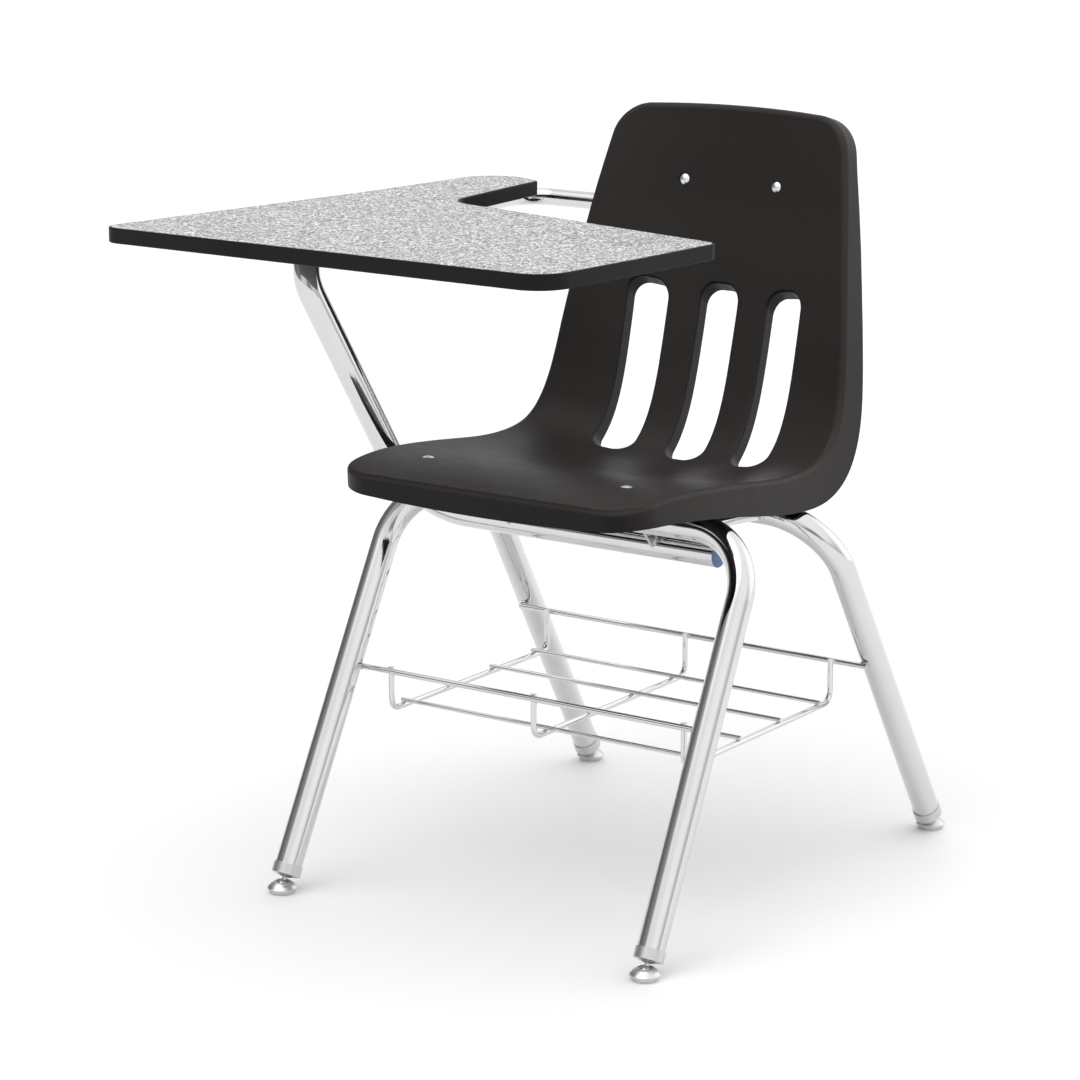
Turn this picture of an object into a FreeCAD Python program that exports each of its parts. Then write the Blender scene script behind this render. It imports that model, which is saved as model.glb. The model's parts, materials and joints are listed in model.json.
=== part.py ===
"""Student desk chair: plastic shell on a chromed tube frame, with a fixed tablet arm and a book rack.

Frame: millimetres, +Z up, the sitter faces -Y and the tablet is on the sitter's right, at -X.
The origin is on the floor, in the chair's mirror plane, below the middle of the seat.
Every sub-part is one function that returns one shape, and every shape goes to its own STEP file.
"""
import FreeCAD, Part
import math
import os

V = FreeCAD.Vector
X_AXIS = V(1, 0, 0)
Y_AXIS = V(0, 1, 0)
Z_AXIS = V(0, 0, 1)

# ---------------------------------------------------------------- driving dimensions
tube_r = 28.6 / 2                   # 1-1/8 inch furniture tube: leg frames and tablet arm
tube_wall = 1.65
brace_r = 19.05 / 2                 # 3/4 inch tube of the back brace
brace_wall = 1.5

ball_z = 8.0                        # every glide pivots on a ball at this height
glide_half_width = 226.8            # glide centres, from the mirror plane
glide_y_front = -320.2
glide_y_rear = 257.5
leg_lean_front = 0.522              # run along Y for one unit of rise
leg_lean_rear = -0.602
leg_lean_in = 0.017                 # run towards the mirror plane for one unit of rise
frame_top_front = 403.4             # centre line of the front frame's top tube
frame_top_rear = 393.3
leg_bend_front = 68.0               # centre line radii of the leg bends
leg_bend_rear = 73.6

side_link_r = 8.0                   # tubes that join the two leg frames
side_link_wall = 1.5
side_link_x = 145.0

rail_x = 122.3                      # seat rails, with the seat rivets through them
rail_width = 28.0
rail_thick = 3.0
rail_bend = 16.0
rail_rear_overhang = 20.0           # how far the strap runs past the tubes it lies on
rail_front_overhang = 10.0
rail_flat_rear = 18.0               # flat of the strap, from the rivet
rail_flat_front = 15.0
seat_rivet_s = 2.45                 # place of the rivets along the shell's stations
seat_washer_r = 9.0
seat_washer_thick = 1.2
back_rivet_x = 58.4
back_rivet_s = 16.05
rivet_r = 3.15                      # shank
rivet_play = 0.05                   # radial clearance of every rivet and bolt hole
rivet_head_r = 6.2
back_head_height = 2.6
seat_head_height = 1.5
seat_rivet_seat = 0.3               # depth of the flat that a rivet's head sits on
back_rivet_seat = 0.85
rivet_seat_play = 0.3               # gap round the head in its flat
rivet_tail_r = 5.0
rivet_tail_height = 1.8
spacer_r = 8.0
spacer_length = 6.0

shell_thick = 5.0
shell_face_area = 150000.0          # only the two broad faces of the shell are larger
shell_end_depth = 80.0              # every edge through the shell's depth is shorter
cavity_overrun = 12.0               # how far the cut for the cavity runs past the rim
shell_rim_wall = 4.6                # wall of the turned-down rim
shell_corner_front = 42.0
shell_corner_top = 47.0
shell_edge_round = 5.5
shell_flare_front = 0.15            # sideways run of the rim for one unit of depth
shell_flare_top = 0.03
shell_crown_r = 1180.0              # radius of the back's upper edge, seen from the front
shell_crown_trim = 1.0              # how far the middle of that edge lies below the last station

slot_half_width = 23.3
slot_pitch = 86.4
slot_side_length = 193.0
slot_middle_length = 196.4
slot_corner = 18.0
slot_lip_depth = 17.0
slot_lip_wall = 3.6
slot_lip_from_s = 7.6               # stations between which the slots have a lip
slot_lip_to_s = 14.4
slot_lip_margin = 45.0              # no lip this near to the shell's side
slot_bar_reach = 260.0              # length of the cutting bar
slot_dip = 35.0                     # the slot walls run back and down at this angle
slot_middle = 490.9                 # middle of the middle slot, square to its walls
slot_side_drop = 3.0                # how much lower the side slots lie
slot_start = -180.0                 # middle of the cutting bar, along its own direction
slot_edge_round = 3.0

tablet_top = 695.5
laminate_thick = 1.0
backer_thick = 0.6
tablet_thick = 16.0
band_width = 2.6
band_round = 1.6
band_barb_depth = 7.0
band_barb_thick = 2.2

arm_x = -305.0                      # run of the arm tube under the tablet
arm_low_y = -88.0                   # crossbar below the seat
arm_low_z = 372.5
arm_low_end_x = 161.7
arm_low_corner_x = -222.8
arm_low_bend = 91.0
arm_top_corner_y = -196.6
arm_top_bend = 44.0
arm_rear_end_y = 62.0
gusset_x = 90.0                     # plates that hang the crossbar from the front leg frame
gusset_width = 22.0
gusset_thick = 4.0
plate_thick = 3.0
plate_corner = 8.0
screw_r = 2.1
screw_head_r = 4.2
screw_head_height = 2.2
screw_bite = 9.0                    # how far a screw goes into the tablet

brace_x = -282.6                    # first run of the brace, beside the arm tube
brace_z = 669.4
brace_y = 208.0
brace_start_y = 41.0
brace_corner_bend = 38.0
brace_lift_bend = 60.0
brace_lift_start_x = -165.0
brace_lift_end_x = -95.0
brace_end_x = 88.0
plug_stub = 14.0                    # end plugs: length inside the tube, and crown outside it
plug_crown = 2.4

wire_r = 6.35 / 2                   # rack rails and cradle wires
floor_wire_r = 4.8 / 2
rack_half_width = 183.4             # outer cradle wires, from the mirror plane
rack_low_z = 174.4
rack_top_z = 221.0
rack_rail_z = 218.0
rack_rail_overhang = 1.0            # how far a rail runs past the middle of the leg
rack_bend = 12.0
floor_wire_ys = (-162.8, -80.2, -0.8, 78.7)
floor_wire_half = 186.3
weld_sink = 0.3                     # how far one welded piece sinks into the next

ferrule_rim = 11.5                  # distances along the leg axis, from the ball centre
ferrule_floor = 15.0
ferrule_top = 22.8
ferrule_r = tube_r + 1.1
neck_r = 2.6
neck_end = 8.6
shank_r = 4.0
shank_top = 30.0
ball_r = 6.0
joint_gap = 0.05                    # running clearance of ball and socket
socket_r = 8.0
socket_low = 1.3
socket_top = 11.0
foot_floor = 1.0
foot_base_r = 12.6
foot_rim_r = 15.7
foot_mouth_r = 7.3
foot_mouth_z = 12.4
swing_half_angle = 38.0             # cone that the neck needs, from the foot's own axis
swing_height = 8.0
glide_gap = 0.3                     # smallest gap between pieces that move on their own

# worked out from the dimensions above
tablet_bottom = tablet_top - tablet_thick
arm_top_z = tablet_bottom - plate_thick - tube_r + weld_sink

PARTS = {}


def part(name, shape):
    """Keep a finished sub-part under its node name."""
    PARTS[name] = shape
    return shape


# ---------------------------------------------------------------- general helpers
def bent_path(corners, radii):
    """Wire of straight runs through the corners, each corner rounded by a tangent arc."""
    edges = []
    here = corners[0]
    for i, radius in enumerate(radii):
        corner = corners[i + 1]
        back = (corners[i] - corner).normalize()
        ahead = (corners[i + 2] - corner).normalize()
        half = back.getAngle(ahead) / 2
        reach = radius / math.tan(half)
        start = corner + back * reach
        end = corner + ahead * reach
        middle_dir = (back + ahead).normalize()
        middle = corner + middle_dir * (radius / math.sin(half) - radius)
        edges.append(Part.LineSegment(here, start).toShape())
        edges.append(Part.Arc(start, middle, end).toShape())
        here = end
    edges.append(Part.LineSegment(here, corners[-1]).toShape())
    return Part.Wire(edges)


def swept_rod(path, radius):
    """Solid round rod along a path."""
    first = path.OrderedEdges[0]
    start = first.valueAt(first.FirstParameter)
    heading = first.tangentAt(first.FirstParameter)
    ring = Part.Wire(Part.makeCircle(radius, start, heading))
    return path.makePipeShell([ring], True, False)


def swept_tube(path, radius, wall):
    """Hollow round tube along a path, open at both ends."""
    return swept_rod(path, radius).cut(swept_rod(path, radius - wall))


def mirrored(shape):
    """The same shape on the other side of the chair."""
    return shape.mirror(V(0, 0, 0), X_AXIS)


def one_solid(shape):
    """The only solid in a boolean result."""
    solids = shape.Solids
    if len(solids) != 1:
        raise ValueError("expected one solid, found %d" % len(solids))
    return solids[0]


def turned(profile, base, axis):
    """Solid of revolution of (radius, height) points about an axis through base."""
    points = [V(r, 0, h) for r, h in profile]
    face = Part.Face(Part.makePolygon(points + points[:1]))
    solid = face.revolve(V(0, 0, 0), Z_AXIS, 360)
    solid.Placement = FreeCAD.Placement(base, FreeCAD.Rotation(Z_AXIS, axis))
    return solid


# ---------------------------------------------------------------- leg frames
def ball_centre(side, front):
    """Centre of the ball joint of one glide; side is -1 or 1."""
    return V(side * glide_half_width, glide_y_front if front else glide_y_rear, ball_z)


def leg_axis(side, front):
    """Unit vector up a leg."""
    lean = leg_lean_front if front else leg_lean_rear
    return V(-side * leg_lean_in, lean, 1).normalize()


def leg_frame_path(front):
    """Centre line of one inverted U, from the left foot over the top to the right foot."""
    top = frame_top_front if front else frame_top_rear
    bend = leg_bend_front if front else leg_bend_rear
    corners = []
    for side in (-1, 1):
        ball = ball_centre(side, front)
        axis = leg_axis(side, front)
        foot = ball + axis * ferrule_floor
        corner = ball + axis * ((top - ball_z) / axis.z)
        corners.extend([foot, corner] if side < 0 else [corner, foot])
    return bent_path(corners, [bend, bend])


def leg_frame(front):
    return swept_tube(leg_frame_path(front), tube_r, tube_wall)


def leg_frame_core(front):
    """The same frame without its bore, for cutting what is welded to it."""
    return swept_rod(leg_frame_path(front), tube_r)


def frame_top_point(front, x):
    """Centre of a leg frame's top tube at x."""
    top = frame_top_front if front else frame_top_rear
    axis = leg_axis(1, front)
    y = ball_centre(1, front).y + axis.y * (top - ball_z) / axis.z
    return V(x, y, top)


def side_link(front_core, rear_core):
    """Tube that joins the two leg frames on the +X side."""
    path = bent_path([frame_top_point(True, side_link_x), frame_top_point(False, side_link_x)], [])
    tube = swept_tube(path, side_link_r, side_link_wall)
    return one_solid(tube.cut(front_core).cut(rear_core))


# ---------------------------------------------------------------- glides
def glide_ferrule(side, front):
    """Cup on the tube end: sleeve outside the tube, floor with a cone below."""
    profile = [
        (shank_r, ferrule_floor),
        (tube_r, ferrule_floor),
        (tube_r, ferrule_top),
        (ferrule_r, ferrule_top),
        (ferrule_r, ferrule_rim),
        (shank_r, neck_end),
    ]
    return turned(profile, ball_centre(side, front), leg_axis(side, front))


def glide_stud(side, front):
    """Threaded stud with a ball end."""
    ball = ball_centre(side, front)
    axis = leg_axis(side, front)
    stud = Part.makeSphere(ball_r, ball)
    stud = stud.fuse(Part.makeCylinder(neck_r, neck_end, ball, axis))
    shank = Part.makeCylinder(shank_r, shank_top - neck_end, ball + axis * neck_end, axis)
    return one_solid(stud.fuse(shank))


def glide_socket(side, front):
    """Nylon cup that snaps round the ball; its mouth lets the neck swing."""
    ball = ball_centre(side, front)
    base = V(ball.x, ball.y, socket_low)
    cup = Part.makeCylinder(socket_r, socket_top - socket_low, base, Z_AXIS)
    cup = cup.cut(Part.makeSphere(ball_r + joint_gap, ball))
    return one_solid(cup.cut(swing_cone(ball)))


def swing_cone(ball):
    """Space above the ball that the neck sweeps when the foot tilts and turns."""
    spread = math.tan(math.radians(swing_half_angle))
    start = neck_r / math.cos(math.radians(swing_half_angle)) + glide_gap
    return Part.makeCone(start, start + swing_height * spread, swing_height, ball, Z_AXIS)


def glide_foot(side, front):
    """Domed foot that turns on the socket; its flat bottom rests on the floor."""
    ball = ball_centre(side, front)
    bore_r = socket_r + joint_gap
    lip_z = socket_top + glide_gap
    profile = [
        (0, 0),
        (foot_base_r, 0),
        (foot_rim_r - 0.5, 5.0),
        (foot_rim_r, 5.5),
        (foot_rim_r - 0.1, 6.2),
        (13.0, 9.1),
        (10.2, 11.2),
        (8.4, 12.2),
        (foot_mouth_r, foot_mouth_z),
        (foot_mouth_r, lip_z),
        (bore_r, lip_z),
        (bore_r, foot_floor),
        (0, foot_floor),
    ]
    return turned(profile, V(ball.x, ball.y, 0), Z_AXIS)


# ---------------------------------------------------------------- seat shell
# Stations along the shell's edge, from the front of the seat to the top of the back:
# y and z of the edge, half width, dish (how far the middle lies behind or below the edge),
# depth of the turned-down rim, and how much deeper the rim is in the middle.
shell_stations = (
    (-284.0, 451.6, 178.4, 0.6, 20.0, 7.0),
    (-262.0, 455.4, 181.8, 0.6, 22.0, 4.6),
    (-222.0, 458.6, 186.4, 0.6, 26.0, 0.6),
    (-170.0, 457.4, 189.3, 2.6, 29.6, 0.0),
    (-118.0, 453.2, 190.6, 7.6, 32.4, 0.0),
    (-66.0, 447.6, 191.0, 13.6, 35.4, 0.0),
    (-16.0, 442.4, 191.2, 19.0, 38.6, 0.0),
    (24.0, 441.6, 191.0, 24.4, 42.0, 0.0),
    (59.0, 446.0, 190.6, 31.0, 46.0, 0.0),
    (84.0, 458.0, 189.8, 32.6, 48.0, 0.0),
    (101.6, 479.0, 188.0, 31.0, 45.0, 0.0),
    (114.0, 510.0, 184.8, 31.2, 41.4, 0.0),
    (122.4, 545.0, 181.0, 33.0, 39.0, 0.0),
    (131.5, 586.0, 175.6, 34.6, 37.5, 0.0),
    (142.0, 630.0, 169.0, 33.4, 35.5, 0.0),
    (153.6, 675.0, 162.2, 30.4, 32.0, 0.0),
    (163.8, 712.0, 156.0, 26.0, 28.0, 0.0),
    (174.6, 750.0, 148.6, 20.0, 25.0, 0.0),
    (187.0, 795.0, 139.4, 13.2, 22.0, 0.0),
)


last_station = len(shell_stations) - 1


def station_curve(points):
    """Smooth curve through one point for each station, at whole-number parameters."""
    curve = Part.BSplineCurve()
    curve.interpolate(Points=points, Parameters=[float(i) for i in range(len(points))])
    return curve


edge_curve = station_curve([V(w, y, z) for y, z, w, dish, rim, bow in shell_stations])
depth_curve = station_curve([V(dish, rim, bow) for y, z, w, dish, rim, bow in shell_stations])


def shell_behind(s):
    """Unit vector square to the edge at s, pointing behind the back and below the seat."""
    along = edge_curve.tangent(s)[0]
    return V(0, along.z, -along.y).normalize()


def shell_point(t, s, depth):
    """Point of the shell: t from -1 to 1 across, s along the stations, depth behind the face."""
    edge = edge_curve.value(s)
    dish = depth_curve.value(s).x
    behind = shell_behind(s)
    flare = shell_flare_front + (shell_flare_top - shell_flare_front) * s / last_station
    sideways = t * (edge.x + flare * depth)
    return V(sideways, edge.y, edge.z) + behind * (dish * (1 - t * t) + depth)


def shell_section(s, reach, near, far, bow):
    """Closed outline across the shell at s, from depth near to depth far, out to +-reach."""
    steps = [i / 4 for i in range(-4, 5)]
    rows = []
    for depth, extra in ((near, 0), (far, bow)):
        row = Part.BSplineCurve()
        row.interpolate([shell_point(k * reach, s, depth + extra * (1 - k * k)) for k in steps])
        rows.append(row.toShape())
    walls = []
    for k in (-1, 1):
        ends = [shell_point(k * reach, s, depth) for depth in (near, far)]
        walls.append(Part.LineSegment(ends[0], ends[1]).toShape())
    return Part.Wire(Part.__sortEdges__([rows[0], walls[1], rows[1], walls[0]]))


def shell_block(first_s, last_s, near, far, side_inset, to_rim):
    """Solid between two depths; with to_rim the far depth counts on from the rim's own depth."""
    count = math.ceil(last_s - first_s)
    sections = []
    for i in range(count + 1):
        s = first_s + (last_s - first_s) * i / count
        reach = 1 - side_inset / edge_curve.value(s).x
        rim = depth_curve.value(s).y
        bow = depth_curve.value(s).z
        if to_rim:
            sections.append(shell_section(s, reach, near, rim + far, bow))
        else:
            sections.append(shell_section(s, reach, near, far, 0))
    return Part.makeLoft(sections, True, False)


def crowned(block, inset):
    """Trim the top of a block to the bowed upper edge of the back."""
    edge = edge_curve.value(last_station)
    up = edge_curve.tangent(last_station)[0]
    up = V(0, up.y, up.z).normalize()
    top = V(0, edge.y, edge.z) - up * (shell_crown_trim + inset)
    radius = shell_crown_r - inset
    half = 1.2 * edge.x
    low = top - up * (radius - math.sqrt(radius * radius - half * half))
    left = low - X_AXIS * half
    right = low + X_AXIS * half
    lines = [
        Part.Arc(left, top, right).toShape(),
        Part.LineSegment(right, right + up * half).toShape(),
        Part.LineSegment(right + up * half, left + up * half).toShape(),
        Part.LineSegment(left + up * half, left).toShape(),
    ]
    behind = shell_behind(last_station)
    cap = Part.Face(Part.Wire(lines))
    cap.translate(-behind * half)
    return block.cut(cap.extrude(behind * (2 * half)))


def end_edges(block, at_front):
    """The two edges of a block that run through the shell's depth at one of its ends."""
    picked = []
    for edge in block.Edges:
        middle = edge.CenterOfMass
        at_end = middle.y < shell_stations[1][0] if at_front else middle.z > shell_stations[-2][1]
        if at_end and edge.Length < shell_end_depth:
            picked.append(edge)
    return picked


def rounded_ends(block, inset):
    """Round the corners of a block at the seat's front and at the top of the back."""
    block = block.makeFillet(shell_corner_front - inset, end_edges(block, True))
    return block.makeFillet(shell_corner_top - inset, end_edges(block, False))


def sitting_face(shape):
    """The broad face towards the sitter."""
    broad = [face for face in shape.Faces if face.Area > shell_face_area]
    return min(broad, key=lambda face: face.CenterOfMass.y)


def shell_hull():
    """The shell's outer form as if solid, with rounded corners and a rounded front edge."""
    block = crowned(shell_block(0, last_station, 0, 0, 0, True), 0)
    block = rounded_ends(block, 0)
    return block.makeFillet(shell_edge_round, sitting_face(block).Edges)


def shell_cavity():
    """Space behind the shell and inside its rim."""
    first = shell_rim_wall / edge_curve.length(0, 1)
    block = shell_block(first, last_station, shell_thick, cavity_overrun, shell_rim_wall, True)
    return rounded_ends(crowned(block, shell_rim_wall), shell_rim_wall)


slot_back = V(0, math.cos(math.radians(slot_dip)), -math.sin(math.radians(slot_dip)))
slot_up = V(0, math.sin(math.radians(slot_dip)), math.cos(math.radians(slot_dip)))


def slot_prism(x, grow):
    """Rounded bar through the back, along the direction of the slot walls."""
    length = slot_middle_length if x == 0 else slot_side_length
    half_width = slot_half_width + grow
    half_length = length / 2 + grow
    corner = V(-half_width, -half_length, -slot_bar_reach / 2)
    bar = Part.makeBox(2 * half_width, 2 * half_length, slot_bar_reach, corner)
    long_edges = [edge for edge in bar.Edges if edge.Length > slot_bar_reach - 1]
    bar = bar.makeFillet(slot_corner + grow, long_edges)
    turn = FreeCAD.Rotation(V(-1, 0, 0), slot_up, slot_back, "ZYX")
    middle = slot_up * (slot_middle if x == 0 else slot_middle - slot_side_drop)
    bar.Placement = FreeCAD.Placement(V(x, middle.y, middle.z) + slot_back * slot_start, turn)
    return bar


def slot_rims(shell):
    """Edges of the slots on the sitting face."""
    rims = []
    for loop in sitting_face(shell).Wires:
        box = loop.BoundBox
        if box.XLength < 3 * slot_half_width and box.ZLength > slot_side_length / 2:
            rims.extend(loop.Edges)
    return rims


def rivet_line(x, s):
    """Where a rivet meets the shell's face, and the direction towards the sitter."""
    edge = edge_curve.value(s)
    return shell_point(x / edge.x, s, 0), -shell_behind(s)


def rivet_lines():
    """Lines of the two seat rivets and of the two back rivets."""
    seat = [rivet_line(side * rail_x, seat_rivet_s) for side in (-1, 1)]
    back = [rivet_line(side * back_rivet_x, back_rivet_s) for side in (-1, 1)]
    return seat, back


def rivet_hole(face_point, outward, length):
    """Cylinder of a rivet hole, from a little outside the face."""
    start = face_point + outward * back_head_height
    return Part.makeCylinder(rivet_r + rivet_play, length + back_head_height, start, -outward)


def seat_shell():
    """Seat and back in one piece, with the turned-down rim and three lipped slots."""
    shell = shell_hull().cut(shell_cavity())
    half = shell_thick / 2
    lip_zone = shell_block(slot_lip_from_s, slot_lip_to_s, half, slot_lip_depth, slot_lip_margin, False)
    slot_xs = (-slot_pitch, 0, slot_pitch)
    for x in slot_xs:
        shell = shell.fuse(slot_prism(x, slot_lip_wall).common(lip_zone))
    for x in slot_xs:
        shell = shell.cut(slot_prism(x, 0))
    shell = shell.makeFillet(slot_edge_round, slot_rims(shell))
    seat, back = rivet_lines()
    for face_point, outward in seat + back:
        shell = shell.cut(rivet_hole(face_point, outward, 3 * shell_thick))
    for lines, depth in ((seat, seat_rivet_seat), (back, back_rivet_seat)):
        for face_point, outward in lines:
            start = face_point - outward * depth
            radius = rivet_head_r + rivet_seat_play
            shell = shell.cut(Part.makeCylinder(radius, shell_thick, start, outward))
    return one_solid(shell)


# ---------------------------------------------------------------- rivets and seat rails
def dome(base, axis, radius, height):
    """Shallow round head that stands on a flat circle at base."""
    sphere_r = (radius * radius + height * height) / (2 * height)
    ball = Part.makeSphere(sphere_r, base + axis * (height - sphere_r))
    return ball.common(Part.makeCylinder(radius + 1, height + 1, base, axis))


def seat_rivet(face_point, outward):
    """Rivet through the shell, the washer and the seat rail."""
    base = face_point - outward * seat_rivet_seat
    grip = shell_thick + seat_washer_thick + rail_thick - seat_rivet_seat
    rivet = dome(base, outward, rivet_head_r, seat_head_height)
    rivet = rivet.fuse(Part.makeCylinder(rivet_r, grip, base, -outward))
    tail = dome(base - outward * grip, -outward, rivet_tail_r, rivet_tail_height)
    return one_solid(rivet.fuse(tail))


def seat_washer(face_point, outward, shell):
    """Soft washer between the shell and the seat rail."""
    top = face_point - outward * (shell_thick / 2)
    height = shell_thick / 2 + seat_washer_thick
    disc = Part.makeCylinder(seat_washer_r, height, top, -outward)
    hole = Part.makeCylinder(rivet_r + rivet_play, height, top, -outward)
    return one_solid(disc.cut(hole).cut(shell))


def seat_rail(front_core, rear_core):
    """Formed strap on the +X side, welded to both leg frames and riveted to the shell."""
    front = frame_top_point(True, rail_x)
    rear = frame_top_point(False, rail_x)
    forward = (front - rear).normalize()
    up = forward.cross(X_AXIS)
    lift = up * (tube_r - weld_sink + rail_thick / 2)
    face_point, outward = rivet_line(rail_x, seat_rivet_s)
    middle = face_point - outward * (shell_thick + seat_washer_thick + rail_thick / 2)
    along = X_AXIS.cross(outward)
    corners = [
        rear + lift - forward * rail_rear_overhang,
        front + lift + forward * rail_front_overhang,
        middle - along * rail_flat_rear,
        middle + along * rail_flat_front,
    ]
    path = bent_path(corners, [rail_bend, rail_bend])
    half = X_AXIS * (rail_width / 2)
    thick = up * (rail_thick / 2)
    ring = [corners[0] + half + thick, corners[0] - half + thick]
    ring = ring + [corners[0] - half - thick, corners[0] + half - thick]
    strap = path.makePipeShell([Part.makePolygon(ring + ring[:1])], True, False)
    strap = strap.cut(front_core).cut(rear_core)
    return one_solid(strap.cut(rivet_hole(face_point, outward, 4 * shell_thick)))


# ---------------------------------------------------------------- end plugs
def end_plug(centre, outward, radius, wall):
    """Plastic plug in an open tube end."""
    bore = radius - wall
    profile = [
        (0, plug_crown),
        (0.5 * radius, 0.9 * plug_crown),
        (0.8 * radius, 0.65 * plug_crown),
        (radius - 0.4, 0.3 * plug_crown),
        (radius, 0),
        (bore, 0),
        (bore, -plug_stub),
        (bore - wall, -plug_stub),
        (bore - wall, -wall),
        (0, -wall),
    ]
    return turned(profile, centre, outward)


# ---------------------------------------------------------------- tablet arm
def arm_path():
    """Centre line of the arm tube: crossbar under the seat, post, run under the tablet."""
    corners = [
        V(arm_low_end_x, arm_low_y, arm_low_z),
        V(arm_low_corner_x, arm_low_y, arm_low_z),
        V(arm_x, arm_top_corner_y, arm_top_z),
        V(arm_x, arm_rear_end_y, arm_top_z),
    ]
    return bent_path(corners, [arm_low_bend, arm_top_bend])


def arm_gusset(x, front_core, arm_core):
    """Plate between the front leg frame and the crossbar."""
    top = frame_top_point(True, x)
    low = V(x, arm_low_y, arm_low_z)
    side = (low - top).cross(X_AXIS).normalize() * (gusset_width / 2)
    points = [top + side, top - side, low - side, low + side]
    points = [point - X_AXIS * (gusset_thick / 2) for point in points]
    plate = Part.Face(Part.makePolygon(points + points[:1])).extrude(X_AXIS * gusset_thick)
    return one_solid(plate.cut(front_core).cut(arm_core))


def brace_path():
    """Centre line of the brace: beside the arm tube, round the shell and across its back."""
    face_point, outward = rivet_line(back_rivet_x, back_rivet_s)
    behind = face_point - outward * (shell_thick + spacer_length + brace_r)
    corners = [
        V(brace_x, brace_start_y, brace_z),
        V(brace_x, brace_y, brace_z),
        V(brace_lift_start_x, brace_y, brace_z),
        V(brace_lift_end_x, behind.y, behind.z),
        V(brace_end_x, behind.y, behind.z),
    ]
    return bent_path(corners, [brace_corner_bend, brace_lift_bend, brace_lift_bend])


def brace_tube(arm_core, back_lines):
    """Back brace with the holes of the two back rivets."""
    tube = swept_tube(brace_path(), brace_r, brace_wall).cut(arm_core)
    for face_point, outward in back_lines:
        tube = tube.cut(rivet_hole(face_point, outward, 2 * brace_r + 6 * shell_thick))
    return one_solid(tube)


def back_rivet(face_point, outward, brace_core):
    """Rivet through the shell, the spacer and the brace tube."""
    base = face_point - outward * back_rivet_seat
    grip = shell_thick + spacer_length + 2 * brace_r - back_rivet_seat
    rivet = dome(base, outward, rivet_head_r, back_head_height)
    rivet = rivet.fuse(Part.makeCylinder(rivet_r, grip, base, -outward))
    end = base - outward * grip
    saddle = Part.makeCylinder(rivet_tail_r, rivet_tail_height, end, outward).cut(brace_core)
    tail = dome(end, -outward, rivet_tail_r, rivet_tail_height).fuse(saddle)
    return one_solid(rivet.fuse(tail))


def back_spacer(face_point, outward, shell, brace_core):
    """Sleeve round a back rivet, from the back of the shell to the brace tube."""
    start = face_point - outward * (shell_thick / 2)
    length = shell_thick / 2 + spacer_length + brace_r / 2
    sleeve = Part.makeCylinder(spacer_r, length, start, -outward)
    sleeve = sleeve.cut(Part.makeCylinder(rivet_r + rivet_play, length, start, -outward))
    return one_solid(sleeve.cut(shell).cut(brace_core))


# ---------------------------------------------------------------- tablet
# Corners of the tablet's outline before rounding, counter-clockwise from above: x, y, radius.
tablet_corners = (
    (-402.5, -381.0, 18.0),
    (149.6, -380.6, 38.0),
    (166.0, -227.0, 1200.0),
    (175.0, -115.0, 15.0),
    (-214.5, -31.0, 40.0),
    (-223.0, 71.0, 1500.0),
    (-228.0, 152.0, 7.0),
    (-307.4, 187.1, 45.0),
    (-331.9, -14.7, 1500.0),
)


def tablet_outline(z):
    """Closed outline of the tablet at height z."""
    points = [V(x, y, z) for x, y, radius in tablet_corners]
    radii = [radius for x, y, radius in tablet_corners]
    seam = (points[0] + points[1]) / 2
    return bent_path([seam] + points[1:] + points[:1] + [seam], radii[1:] + radii[:1])


def tablet_slab(inset, low, high):
    """Flat slab of the tablet's outline, moved in by inset, between two heights."""
    outline = tablet_outline(low)
    if inset:
        outline = outline.makeOffset2D(-inset)
    return Part.Face(outline).extrude(Z_AXIS * (high - low))


def barb_ring():
    """Barb of the edge band and the groove that it fills."""
    low = tablet_bottom + (tablet_thick - band_barb_thick) / 2
    high = low + band_barb_thick
    return tablet_slab(band_width, low, high).cut(tablet_slab(band_width + band_barb_depth, low, high))


def edge_band():
    """Moulding round the tablet, pressed into a groove in the core's edge."""
    slab = tablet_slab(0, tablet_bottom, tablet_top)
    flat = [edge for edge in slab.Edges if abs(edge.BoundBox.ZLength) < 0.01]
    slab = slab.makeFillet(band_round, flat)
    band = slab.cut(tablet_slab(band_width, tablet_bottom - 1, tablet_top + 1))
    return one_solid(band.fuse(barb_ring()))


def screw_spots(plate):
    """Plan positions of the four screws of a mounting plate."""
    x_low, x_high, y_low, y_high, screw_xs = plate
    inset = 2 * screw_head_r
    return [(x, y) for x in screw_xs for y in (y_low + inset, y_high - inset)]


# Mounting plates: x from, x to, y from, y to, and the x of the screws.
front_plate = (-341.0, -235.0, -125.0, -80.0, (-331.0, -246.0))
rear_plate = (-321.0, -230.0, -10.0, 38.0, (-276.0, -242.0))


def screw_shanks(plate):
    """Shanks of a plate's screws, up into the tablet."""
    low = tablet_bottom - plate_thick
    spots = screw_spots(plate)
    return [Part.makeCylinder(screw_r, plate_thick + screw_bite, V(x, y, low)) for x, y in spots]


def screws(plate):
    """The four screws of a mounting plate, as separate solids."""
    low = tablet_bottom - plate_thick
    pieces = []
    for (x, y), shank in zip(screw_spots(plate), screw_shanks(plate)):
        head = dome(V(x, y, low), -Z_AXIS, screw_head_r, screw_head_height)
        pieces.append(one_solid(head.fuse(shank)))
    return Part.makeCompound(pieces)


def mounting_plate(plate, arm_core):
    """Plate welded on the arm tube, with four screw holes."""
    x_low, x_high, y_low, y_high, screw_xs = plate
    low = tablet_bottom - plate_thick
    sheet = Part.makeBox(x_high - x_low, y_high - y_low, plate_thick, V(x_low, y_low, low))
    upright = [edge for edge in sheet.Edges if edge.BoundBox.ZLength > 0.5 * plate_thick]
    sheet = sheet.makeFillet(plate_corner, upright).cut(arm_core)
    for shank in screw_shanks(plate):
        sheet = sheet.cut(shank)
    return one_solid(sheet)


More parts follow.
